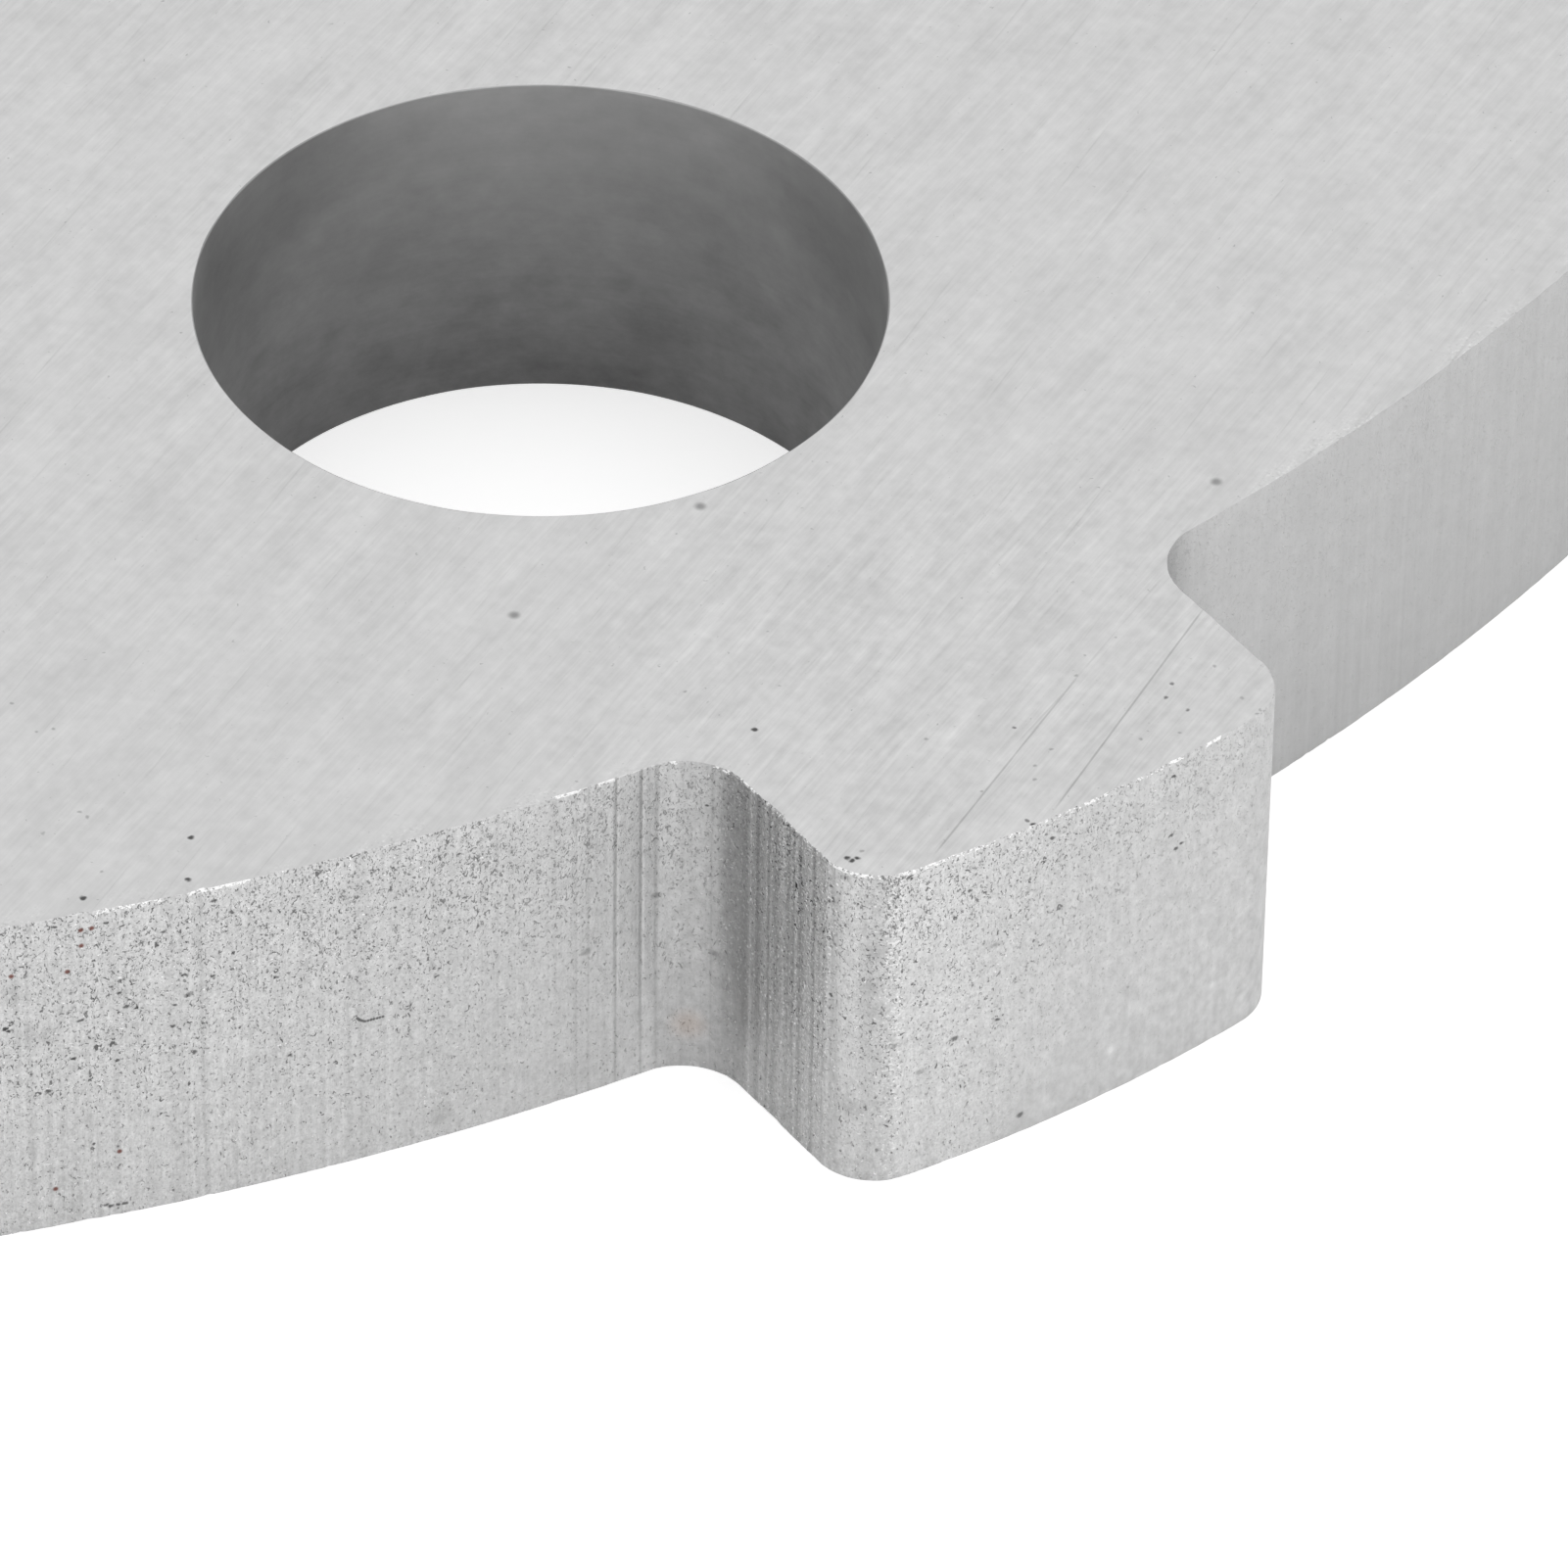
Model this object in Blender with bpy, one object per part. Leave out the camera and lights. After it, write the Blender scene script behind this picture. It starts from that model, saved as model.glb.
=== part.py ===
# Meat grinder plate: a flat ground steel disc with rings of round holes, a centre bore,
# and one lug on its rim that keeps the plate from turning in the grinder's body.
# Metres, +Z up. The origin is on the bore's axis at mid-thickness, the lug points along -Y,
# and both faces are flat and square to +Z.

import math

import bmesh
import bpy

# Driving dimensions
DIAMETER = 0.0620
THICKNESS = 0.0042
BORE_DIAMETER = 0.0080
HOLE_DIAMETER = 0.0075
RIM_WEB = 0.0036  # metal left between the outer ring's holes and the rim
RING_WEB = 0.0040  # metal left between one ring of holes and the next ring
HOLE_WEB = 0.0044  # least metal between two neighbours in a ring
BORE_WEB = 0.0030  # least metal between the innermost ring and the bore
LUG_WIDTH = 0.0056
LUG_REACH = 0.0028  # from the rim's circle out to the tip of the lug
LUG_FACE_RADIUS = 0.0190  # the lug's outer face is a shallow arc of this radius
ROOT_FILLET = 0.00075  # inner corners, where the lug's sides meet the rim
LUG_CORNER = 0.00070  # outer corners of the lug

# How finely the round stretches are cut into flats
RIM_SEGMENTS = 180
FILLET_SEGMENTS = 8
FACE_SEGMENTS = 12
HOLE_SEGMENTS = 48

# Drills reach past both faces by this much, so that they cut clean through
DRILL_OVERRUN = 0.0010

# Points of the blank closer than this are one point
WELD = 0.000001
# Faces that meet at less than this angle lie in one plane
FLAT_ANGLE = math.radians(0.1)
# An edge turning more than this stays crisp when the round walls are shaded smooth
CRISP_ANGLE = math.radians(40)

RIM_RADIUS = DIAMETER / 2
HOLE_RADIUS = HOLE_DIAMETER / 2
BORE_RADIUS = BORE_DIAMETER / 2
LUG_DIRECTION = math.radians(-90)

STEEL_COLOUR = (0.62, 0.62, 0.625, 1.0)
STEEL_ROUGHNESS = 0.42


def clear_scene():
    """Removes the objects that the file starts with."""
    for obj in list(bpy.data.objects):
        bpy.data.objects.remove(obj)


def new_collection(name):
    """A collection of this name, inside the scene's own."""
    collection = bpy.data.collections.new(name)
    bpy.context.scene.collection.children.link(collection)
    return collection


def ground_steel():
    """The bare metal of the whole plate."""
    material = bpy.data.materials.new("ground_steel")
    material.use_nodes = True
    shader = material.node_tree.nodes["Principled BSDF"]
    shader.inputs["Base Color"].default_value = STEEL_COLOUR
    shader.inputs["Metallic"].default_value = 1.0
    shader.inputs["Roughness"].default_value = STEEL_ROUGHNESS
    return material


def arc(centre, radius, start, end, segments, keep_end=False):
    """Points on an arc about a centre, from the start angle to the end angle.

    The last point is left out where the next arc begins on it.
    """
    count = segments + 1 if keep_end else segments
    angles = [start + (end - start) * step / segments for step in range(count)]
    return [
        (centre[0] + radius * math.cos(angle), centre[1] + radius * math.sin(angle))
        for angle in angles
    ]


def plate_outline():
    """The plate seen from above, counter-clockwise: the rim, then round the lug.

    Each root fillet touches the rim's circle from outside and one side of the lug. Each
    outer corner touches that side and the arc of the lug's outer face from inside.
    """
    half = LUG_WIDTH / 2
    fillet_x = half + ROOT_FILLET
    fillet_y = -math.sqrt((RIM_RADIUS + ROOT_FILLET) ** 2 - fillet_x**2)
    rim_start = math.atan2(fillet_y, fillet_x)

    face_centre_y = LUG_FACE_RADIUS - RIM_RADIUS - LUG_REACH
    corner_x = half - LUG_CORNER
    corner_drop = math.sqrt((LUG_FACE_RADIUS - LUG_CORNER) ** 2 - corner_x**2)
    corner_y = face_centre_y - corner_drop
    face_spread = math.atan2(corner_x, corner_drop)

    rim = arc((0, 0), RIM_RADIUS, rim_start, math.pi - rim_start, RIM_SEGMENTS)
    left_fillet = arc(
        (-fillet_x, fillet_y), ROOT_FILLET, -rim_start, 0, FILLET_SEGMENTS, True
    )
    left_corner = arc(
        (-corner_x, corner_y),
        LUG_CORNER,
        -math.pi,
        LUG_DIRECTION - face_spread,
        FILLET_SEGMENTS,
    )
    face = arc(
        (0, face_centre_y),
        LUG_FACE_RADIUS,
        LUG_DIRECTION - face_spread,
        LUG_DIRECTION + face_spread,
        FACE_SEGMENTS,
    )
    right_corner = arc(
        (corner_x, corner_y),
        LUG_CORNER,
        LUG_DIRECTION + face_spread,
        0,
        FILLET_SEGMENTS,
        True,
    )
    right_fillet = arc(
        (fillet_x, fillet_y), ROOT_FILLET, math.pi, math.pi + rim_start, FILLET_SEGMENTS
    )
    return rim + left_fillet + left_corner + face + right_corner + right_fillet


def blank(collection, material):
    """The plate before drilling: its outline as a flat curve, thickened to both sides of z = 0."""
    curve = bpy.data.curves.new("blank_outline", "CURVE")
    curve.dimensions = "2D"
    curve.fill_mode = "BOTH"
    curve.extrude = THICKNESS / 2
    points = plate_outline()
    spline = curve.splines.new("POLY")
    spline.points.add(len(points) - 1)
    for point, (x, y) in zip(spline.points, points):
        point.co = (x, y, 0, 1)
    spline.use_cyclic_u = True
    guide = bpy.data.objects.new("blank_outline", curve)
    collection.objects.link(guide)

    graph = bpy.context.evaluated_depsgraph_get()
    mesh = bpy.data.meshes.new_from_object(guide.evaluated_get(graph))
    mesh.name = "grinder_plate"
    work = bmesh.new()
    work.from_mesh(mesh)
    bmesh.ops.remove_doubles(work, verts=work.verts, dist=WELD)
    bmesh.ops.dissolve_limit(
        work, angle_limit=FLAT_ANGLE, verts=work.verts, edges=work.edges
    )
    work.to_mesh(mesh)
    work.free()

    mesh.materials.clear()
    mesh.materials.append(material)
    mesh.shade_smooth()
    mesh.set_sharp_from_angle(angle=CRISP_ANGLE)
    plate = bpy.data.objects.new("grinder_plate", mesh)
    plate.matrix_world = guide.matrix_world
    collection.objects.link(plate)
    bpy.data.objects.remove(guide)
    return plate


def holes_in_ring(pitch):
    """How many holes fit round a ring of this radius, with HOLE_WEB or more between neighbours."""
    half_spacing = (HOLE_DIAMETER + HOLE_WEB) / 2
    return math.floor(math.pi / math.asin(half_spacing / pitch))


def hole_centres():
    """Centres of the holes, ring by ring inwards, for as long as a ring clears the bore.

    The outer ring has a hole in line with the lug. Each ring further in is turned by half
    of its own spacing, so that its holes stand between those outside it.
    """
    centres = []
    pitch = RIM_RADIUS - RIM_WEB - HOLE_RADIUS
    turned = 0.0
    while pitch >= BORE_RADIUS + BORE_WEB + HOLE_RADIUS:
        count = holes_in_ring(pitch)
        for step in range(count):
            angle = LUG_DIRECTION + 2 * math.pi * (step + turned) / count
            centres.append((pitch * math.cos(angle), pitch * math.sin(angle)))
        pitch -= HOLE_DIAMETER + RING_WEB
        turned = 0.5
    return centres


def drill(name, centre, radius, collection, material):
    """A round cutter through the plate at this centre. It is a guide, and isn't part of the object."""
    work = bmesh.new()
    bmesh.ops.create_cone(
        work,
        cap_ends=True,
        segments=HOLE_SEGMENTS,
        radius1=radius,
        radius2=radius,
        depth=THICKNESS + 2 * DRILL_OVERRUN,
    )
    mesh = bpy.data.meshes.new(name)
    work.to_mesh(mesh)
    work.free()
    mesh.materials.append(material)
    mesh.shade_smooth()
    mesh.set_sharp_from_angle(angle=CRISP_ANGLE)
    cutter = bpy.data.objects.new(name, mesh)
    cutter.location = (centre[0], centre[1], 0)
    cutter.display_type = "WIRE"
    cutter.hide_render = True
    collection.objects.link(cutter)


def main():
    clear_scene()
    parts = new_collection("meat_grinder_plate")
    drills = new_collection("drills")
    drills.hide_render = True

    steel = ground_steel()
    plate = blank(parts, steel)
    drill("bore_drill", (0, 0), BORE_RADIUS, drills, steel)
    for number, centre in enumerate(hole_centres(), start=1):
        drill(f"hole_drill_{number:02d}", centre, HOLE_RADIUS, drills, steel)

    cut = plate.modifiers.new("drilled", "BOOLEAN")
    cut.operation = "DIFFERENCE"
    cut.solver = "EXACT"
    cut.operand_type = "COLLECTION"
    cut.collection = drills


main()
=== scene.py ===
# %% [markdown]
# A meat grinder plate, seen close
#
# The object is one flat piece of steel: a disc with rings of holes, and one lug on its rim.
# It has almost no form beyond its outline, so its looks come from how it was made. The two
# flat faces were ground, which left a fine straight grain. The rim was blanked, so it is
# pitted and scored across its thickness. The holes were bored and are smooth, and their
# walls are painted dark as shade.
# This lesson builds a fine mesh of the plate from formulas, gives each of the three kinds
# of surface its own procedural finish, and lights it softly on a pale floor.

# %% Load the fixed frame
import math

import bpy
import numpy as np
from mathutils import Matrix, Vector
from mathutils.geometry import delaunay_2d_cdt


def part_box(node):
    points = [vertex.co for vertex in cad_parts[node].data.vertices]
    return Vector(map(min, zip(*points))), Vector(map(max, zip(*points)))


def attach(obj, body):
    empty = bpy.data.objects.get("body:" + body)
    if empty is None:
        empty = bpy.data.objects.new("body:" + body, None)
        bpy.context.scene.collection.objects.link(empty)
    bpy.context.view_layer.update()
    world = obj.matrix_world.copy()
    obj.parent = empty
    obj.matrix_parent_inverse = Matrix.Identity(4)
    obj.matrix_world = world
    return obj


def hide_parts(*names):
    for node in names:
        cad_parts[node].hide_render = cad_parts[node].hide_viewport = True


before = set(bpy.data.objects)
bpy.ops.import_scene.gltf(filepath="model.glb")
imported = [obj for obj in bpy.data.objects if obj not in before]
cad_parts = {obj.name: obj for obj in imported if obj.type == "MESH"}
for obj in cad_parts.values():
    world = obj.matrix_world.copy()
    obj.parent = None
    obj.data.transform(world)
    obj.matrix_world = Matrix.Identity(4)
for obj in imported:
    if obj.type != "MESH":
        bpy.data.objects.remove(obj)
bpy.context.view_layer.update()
plate_low, plate_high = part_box("grinder_plate")
print("the plate's box:", [round(v * 1000, 2) for v in (*plate_low, *plate_high)], "mm")

# %% [markdown]
# The sizes
#
# Everything is in metres and in the frame's own place: the origin is on the bore's axis at
# mid-thickness, and the lug points along -Y. The plate's width and thickness are read from
# the frame, and the rest are the plate's own sizes.

# %% Sizes of the plate
MM = 0.001
THICKNESS = plate_high[2] - plate_low[2]
TOP = plate_high[2]
BOTTOM = plate_low[2]
RIM_RADIUS = plate_high[1]
LUG_REACH = -plate_low[1] - RIM_RADIUS
LUG_WIDTH = 5.6 * MM
LUG_FACE_RADIUS = 19.0 * MM
ROOT_FILLET = 0.75 * MM
LUG_CORNER = 0.70 * MM
HOLE_RADIUS = 3.75 * MM
BORE_RADIUS = 4.0 * MM
OUTER_RING = RIM_RADIUS - 3.6 * MM - HOLE_RADIUS
INNER_RING = OUTER_RING - 2 * HOLE_RADIUS - 4.0 * MM
LUG_DIRECTION = -math.pi / 2
print(f"disc {2000 * RIM_RADIUS:.1f} mm across, {1000 * THICKNESS:.2f} mm thick")

# %% [markdown]
# The camera
#
# The photograph is a close view through a long lens from about 40 degrees above the plate.
# The camera is placed from four facts: the point it is aimed by (the middle of the nearest
# hole's upper edge), the pixel of the picture where that point lies, its distance along the
# line of sight, and the way it looks. The rest is geometry: the lens is the focal length in
# pixels turned into millimetres of a 36 mm sensor.

# %% What the camera is placed from
PICTURE = 1601
SENSOR_MM = 36.0
FOCAL_PIXELS = 13824.0
AIM_DEPTH = 146.0 * MM
ELEVATION = math.radians(40.26)
ROLL = math.radians(-0.83)
AZIMUTH = math.radians(-35.36)
AIM_PIXEL = (551.9, 302.5)
AIM_POINT = np.array([0.0, -OUTER_RING, TOP])
print("aimed by the point", np.round(AIM_POINT / MM, 2), "mm, which appears at pixel", AIM_PIXEL)


# %% The camera's directions
def camera_axes():
    """Unit vectors to the right, down and forward of the picture, in the world.

    Forward looks along +Y and down by the elevation, then all three are rolled about
    forward and turned about Z by the azimuth.
    """
    forward = np.array([0.0, math.cos(ELEVATION), -math.sin(ELEVATION)])
    right = np.array([1.0, 0.0, 0.0])
    down = np.cross(forward, right)
    rolled_right = math.cos(ROLL) * right + math.sin(ROLL) * down
    rolled_down = math.cos(ROLL) * down - math.sin(ROLL) * right
    turn = np.array(Matrix.Rotation(AZIMUTH, 3, "Z"))
    return turn @ rolled_right, turn @ rolled_down, turn @ forward


CAMERA_RIGHT, CAMERA_DOWN, CAMERA_FORWARD = camera_axes()
print("the camera looks along", np.round(CAMERA_FORWARD, 3))


# %% From pixels to points and back
def pixel_ray(pixel):
    """Direction from the camera through a pixel, one unit deep along the line of sight."""
    across = (pixel[0] - PICTURE / 2) / FOCAL_PIXELS
    down = (pixel[1] - PICTURE / 2) / FOCAL_PIXELS
    return CAMERA_FORWARD + across * CAMERA_RIGHT + down * CAMERA_DOWN


CAMERA_PLACE = AIM_POINT - AIM_DEPTH * pixel_ray(AIM_PIXEL)


def on_top(pixel):
    """The point of the upper face that a pixel shows."""
    ray = pixel_ray(pixel)
    return CAMERA_PLACE + ray * (TOP - CAMERA_PLACE[2]) / ray[2]


def pixels_of(points):
    """Where points of the world appear, as pixel columns and rows, and how deep they lie.

    The offset from the camera is split along its three axes, and the first two parts are
    divided by the third.
    """
    offset = np.asarray(points) - CAMERA_PLACE
    depth = offset @ CAMERA_FORWARD
    across = offset @ CAMERA_RIGHT / depth * FOCAL_PIXELS + PICTURE / 2
    down = offset @ CAMERA_DOWN / depth * FOCAL_PIXELS + PICTURE / 2
    return np.stack([across, down], axis=-1), depth


print("the aiming point goes back to pixel", np.round(pixels_of(AIM_POINT)[0], 1))

# %% Put the camera into the scene
CLIP_NEAR, CLIP_FAR = 0.01, 10.0
camera_data = bpy.data.cameras.new("camera")
camera_data.sensor_fit = "HORIZONTAL"
camera_data.sensor_width = SENSOR_MM
camera_data.lens = FOCAL_PIXELS * SENSOR_MM / PICTURE
camera_data.clip_start = CLIP_NEAR
camera_data.clip_end = CLIP_FAR
camera = bpy.data.objects.new("camera", camera_data)
bpy.context.scene.collection.objects.link(camera)
placed = Matrix.Identity(4)
for side, vector in enumerate((CAMERA_RIGHT, -CAMERA_DOWN, -CAMERA_FORWARD, CAMERA_PLACE)):
    for axis in range(3):
        placed[axis][side] = vector[axis]
camera.matrix_world = placed
bpy.context.scene.camera = camera
print("camera at", np.round(CAMERA_PLACE / MM, 1), "mm, lens", round(camera_data.lens, 1), "mm")

# %% [markdown]
# The outline
#
# Seen from above, the plate is arcs joined by two short straight sides: the rim, two hollow
# root fillets, two rounded corners and the lug's slightly crowned face. Each arc is a row
# of angles turned into points, so the whole outline is one array. It is then re-spaced
# along its length: closely near the lug, where the camera looks, and loosely elsewhere.

# %% Points of an arc
ARC_STEP = 0.01 * MM


def arc(centre, radius, start, end):
    """Points of a circle's arc, and their outward unit normals.

    A point is the centre plus the radius times (cos, sin) of its angle. The normal is
    (cos, sin) itself, or its opposite where the arc turns clockwise and is hollow.
    """
    count = max(2, int(abs(end - start) * radius / ARC_STEP))
    angle = np.linspace(start, end, count)
    direction = np.stack([np.cos(angle), np.sin(angle)], axis=1)
    return np.array(centre) + radius * direction, direction * np.sign(end - start)


quarter, _ = arc((0, 0), RIM_RADIUS, 0, math.pi / 2)
print("a quarter of the rim's circle has", len(quarter), "points")

# %% The plate's outline
LUG_FACE_Y = LUG_FACE_RADIUS - RIM_RADIUS - LUG_REACH  # the middle of the lug face's arc
SAME_POINT = 1e-9  # points closer than this are one


def plate_outline():
    """The outline counter-clockwise from the lug's right root, as points and outward normals.

    A root fillet's centre is one rim radius plus one fillet radius from the axis, and one
    fillet radius beside the lug. A corner's centre is one corner radius inside the lug's
    side, and one corner radius inside the arc of its face.
    """
    half = LUG_WIDTH / 2
    fillet_x = half + ROOT_FILLET
    fillet_y = -math.sqrt((RIM_RADIUS + ROOT_FILLET) ** 2 - fillet_x**2)
    rim_start = math.atan2(fillet_y, fillet_x)
    corner_x = half - LUG_CORNER
    drop = math.sqrt((LUG_FACE_RADIUS - LUG_CORNER) ** 2 - corner_x**2)
    corner_y = LUG_FACE_Y - drop
    spread = math.atan2(corner_x, drop)
    low, high = LUG_DIRECTION - spread, LUG_DIRECTION + spread
    stretches = [
        arc((0, 0), RIM_RADIUS, rim_start, math.pi - rim_start),
        arc((-fillet_x, fillet_y), ROOT_FILLET, -rim_start, 0),
        arc((-corner_x, corner_y), LUG_CORNER, -math.pi, low),
        arc((0, LUG_FACE_Y), LUG_FACE_RADIUS, low, high),
        arc((corner_x, corner_y), LUG_CORNER, high, 0),
        arc((fillet_x, fillet_y), ROOT_FILLET, math.pi, math.pi + rim_start),
    ]
    points = np.concatenate([points for points, _ in stretches])
    normals = np.concatenate([normals for _, normals in stretches])
    apart = np.linalg.norm(np.roll(points, -1, axis=0) - points, axis=1) > SAME_POINT
    return points[apart], normals[apart]


sharp_points, sharp_normals = plate_outline()
print("the outline before it is re-spaced has", len(sharp_points), "points")

# %% Re-space the outline
LEFT_ROOT = np.array([-LUG_WIDTH / 2 - 0.22 * MM, -RIM_RADIUS - 0.02 * MM])
# The spacing of the points at four distances from the left root, as (distance, spacing)
SPACINGS = (
    (2.6 * MM, 0.02 * MM), (4.5 * MM, 0.035 * MM), (11 * MM, 0.045 * MM), (22 * MM, 0.16 * MM),
)


def respaced(points, normals, spacings):
    """The same closed loop with new spacing, which grows with the distance from the lug's root.

    `spacings` are pairs of distance and spacing. The wanted density is integrated along the
    loop, and equal steps of that integral are read back as places along it, so the spacing
    changes smoothly.
    """
    closed = np.vstack([points, points[:1]])
    length = np.concatenate([[0], np.cumsum(np.linalg.norm(np.diff(closed, axis=0), axis=1))])
    away = np.linalg.norm(closed - LEFT_ROOT, axis=1)
    density = 1 / np.interp(away, *zip(*spacings))
    middle = (density[1:] + density[:-1]) / 2
    total = np.concatenate([[0], np.cumsum(middle * np.diff(length))])
    even = np.linspace(0, total[-1], int(total[-1]), endpoint=False)
    wanted = np.interp(even, total, length)
    both = np.hstack([closed, np.vstack([normals, normals[:1]])])
    values = np.stack([np.interp(wanted, length, column) for column in both.T], axis=1)
    unit = values[:, 2:] / np.linalg.norm(values[:, 2:], axis=1, keepdims=True)
    return values[:, :2], unit, wanted, length[-1]


rim_points, rim_normals, rim_along, rim_length = respaced(sharp_points, sharp_normals, SPACINGS)
print(len(rim_points), "points round", round(rim_length / MM, 1), "mm of outline")

# %% [markdown]
# Finding the places of marks
#
# Marks that can be seen one by one in the photograph have to land where they are on the real
# plate. Along the rim, a place is told by its distance from the lug's left root. It is found
# from a column of the picture, by asking which point of the upper edge appears there. A mark
# on a wall is found from its pixel: points all over the walls are turned into pixels, and of
# those that land on it, the nearest to the camera is the one seen.

# %% Distance from the lug's left root
nearest = np.argmin(np.linalg.norm(rim_points - LEFT_ROOT, axis=1))
from_root = (rim_along - rim_along[nearest] + rim_length / 2) % rim_length - rim_length / 2
least, most = np.round([from_root.min() / MM, from_root.max() / MM], 1)
print("from", least, "to", most, "mm from the root")

# %% Places along the rim by the picture's columns
LUG_SPAN = 9 * MM  # from the left root round the lug's face to its right side
HIDDEN_SPAN = 4 * MM  # the lug's right side, which the camera doesn't see
VIEW_SPAN = 20 * MM  # the rim that the camera sees, to either side of the lug

upper_edge = np.column_stack([rim_points, np.full(len(rim_points), TOP)])
edge_columns = pixels_of(upper_edge)[0][:, 0]
on_lug = (from_root > 0) & (from_root < LUG_SPAN)
lug_end = from_root[on_lug][np.argmax(edge_columns[on_lug])]
hidden = (from_root > lug_end) & (from_root < lug_end + HIDDEN_SPAN)
right_root = from_root[hidden][np.argmin(edge_columns[hidden])]
NEAR_SIDE = (from_root > -VIEW_SPAN) & (from_root <= lug_end)
FAR_SIDE = (from_root >= right_root) & (from_root < right_root + VIEW_SPAN)


def at_column(column, side=NEAR_SIDE):
    """How far from the left root the upper edge crosses a column of the picture.

    The near side runs from the left rim round the lug's face. The far side is the rim
    to the right of the lug.
    """
    return from_root[side][np.argmin(np.abs(edge_columns[side] - column))]


SIDE_COLUMNS = (766, 851)  # where the lug's left side begins, after the fillet, and ends
print("the lug's left side ends", round(at_column(SIDE_COLUMNS[1]) / MM, 2), "mm from the root")

# %% Points of the outer walls by the picture's pixels
WALL_LEVELS = 121  # heights at which the walls are sampled
PIXEL_REACH = 3.0  # how far in pixels a sample may appear from the pixel
SAME_WALL = 0.3 * MM  # a sample this much deeper than the nearest one is on a hidden wall


def on_wall(pixel):
    """The point of the outer walls that a pixel shows.

    All walls are sampled at even levels. Of the samples that appear close to the pixel and
    aren't on a hidden wall, it is the one that appears closest.
    """
    heights = np.linspace(TOP, BOTTOM, WALL_LEVELS)
    flat = np.repeat(rim_points, WALL_LEVELS, axis=0)
    samples = np.column_stack([flat, np.tile(heights, len(rim_points))])
    seen_at, depth = pixels_of(samples)
    away = np.linalg.norm(seen_at - np.asarray(pixel), axis=1)
    close = away < max(PIXEL_REACH, away.min() + 1)
    front = close & (depth < depth[close].min() + SAME_WALL)
    return samples[front][np.argmin(away[front])]


LUG_FACE_PIXEL = (1080, 1000)
print("the middle of the lug's face:", np.round(on_wall(LUG_FACE_PIXEL) / MM, 2), "mm")


# %% Points of the nearest hole's wall by the picture's pixels
def on_hole_wall(pixel):
    """The point of the nearest hole's far wall that a pixel shows.

    Seen from above, the line of sight is start + t * way. It meets the circle where the
    squared distance to the centre is the squared radius, and the larger t is the far side.
    """
    ray = pixel_ray(pixel)
    start = (CAMERA_PLACE - AIM_POINT)[:2]
    way = ray[:2]
    half_b = start @ way
    under_root = half_b**2 - way @ way * (start @ start - HOLE_RADIUS**2)
    t = (-half_b + math.sqrt(under_root)) / (way @ way)
    return CAMERA_PLACE + t * ray


HOLE_WALL_PIXEL = (530, 250)
print("the middle of the hole's far wall:", np.round(on_hole_wall(HOLE_WALL_PIXEL) / MM, 2), "mm")

# %% [markdown]
# The walls
#
# A wall is a profile carried along a path. The path is the outline or a circle, and the
# profile runs down the thickness: a tiny rounded edge, the wall, and the lower edge. Real
# blanked steel isn't smooth here. The tool drags lines down the wall, which is worst beside
# the lug's root, and the sharp edge is left with small burrs and nicks. Both are moves of
# the surface along its own normal, worked out for the whole grid at once.


# %% Uneven values along a closed path
def uneven(along, total, pitch, seed):
    """A smooth value from -1 to 1 along a closed path of this total length.

    Random heights stand `pitch` apart, and a raised-cosine curve joins each to the next.
    """
    count = max(4, int(round(total / pitch)))
    heights = np.random.default_rng(seed).uniform(-1, 1, count)
    place = along / total * count
    left = np.floor(place).astype(int)
    part = (1 - np.cos(math.pi * (place - left))) / 2
    return heights[left % count] * (1 - part) + heights[(left + 1) % count] * part


print("five uneven values round 1 mm:", np.round(uneven(np.linspace(0, MM, 5), MM, 0.1 * MM, 1), 2))


# %% A soft stretch of a path
def between(value, start, end, soft):
    """1 from start to end and 0 outside, with a smooth change over `soft` at both ends.

    The change is the curve x * x * (3 - 2x), where x rises evenly from 0 to 1.
    """
    up = np.clip((value - start) / soft + 0.5, 0, 1)
    down = np.clip((end - value) / soft + 0.5, 0, 1)
    both = np.minimum(up, down)
    return both * both * (3 - 2 * both)


print("a stretch from 1 to 3:", between(np.arange(5), 1, 3, 0.5))


# %% The profile down a wall
def wall_profile(edge_steps, wall_rows):
    """Rows down a wall, as two arrays: how far in from the wall, in edge radii, and the height.

    Each edge is a quarter circle: inset 1 - sin and drop 1 - cos of its angle, in radii.
    Height is given as (share of the straight wall from its top, radii above its end).
    """
    angle = np.linspace(0, math.pi / 2, edge_steps + 1)
    inset = np.concatenate([1 - np.sin(angle), np.zeros(wall_rows), (1 - np.sin(angle))[::-1]])
    rise = np.concatenate([np.cos(angle), np.zeros(wall_rows), -np.cos(angle)[::-1]])
    straight = np.linspace(0, 1, wall_rows + 2)[1:-1]
    share = np.concatenate([np.zeros(edge_steps + 1), straight, np.ones(edge_steps + 1)])
    return inset, rise, share


rim_profile = wall_profile(edge_steps=3, wall_rows=9)
hole_profile = wall_profile(edge_steps=2, wall_rows=1)
print("rows down the rim:", len(rim_profile[0]), "and down a hole:", len(hole_profile[0]))


# %% A wall from its path and its profile
def wall_grid(points, outward, edge, profile, relief):
    """Every point of a wall, as an array of columns by rows by xyz.

    A point is the path's point, moved in by inset times the edge radius plus the relief,
    at the height of its row. `edge` has one radius for each column.
    """
    inset, rise, share = profile
    moved_in = inset[None, :] * edge[:, None] - relief
    flat = points[:, None, :] - outward[:, None, :] * moved_in[:, :, None]
    upper = TOP - edge[:, None]
    lower = BOTTOM + edge[:, None]
    height = upper + (lower - upper) * share[None, :] + rise[None, :] * edge[:, None]
    return np.concatenate([flat, height[:, :, None]], axis=2)


print("height of the walls:", round((TOP - BOTTOM) / MM, 2), "mm")
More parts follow.
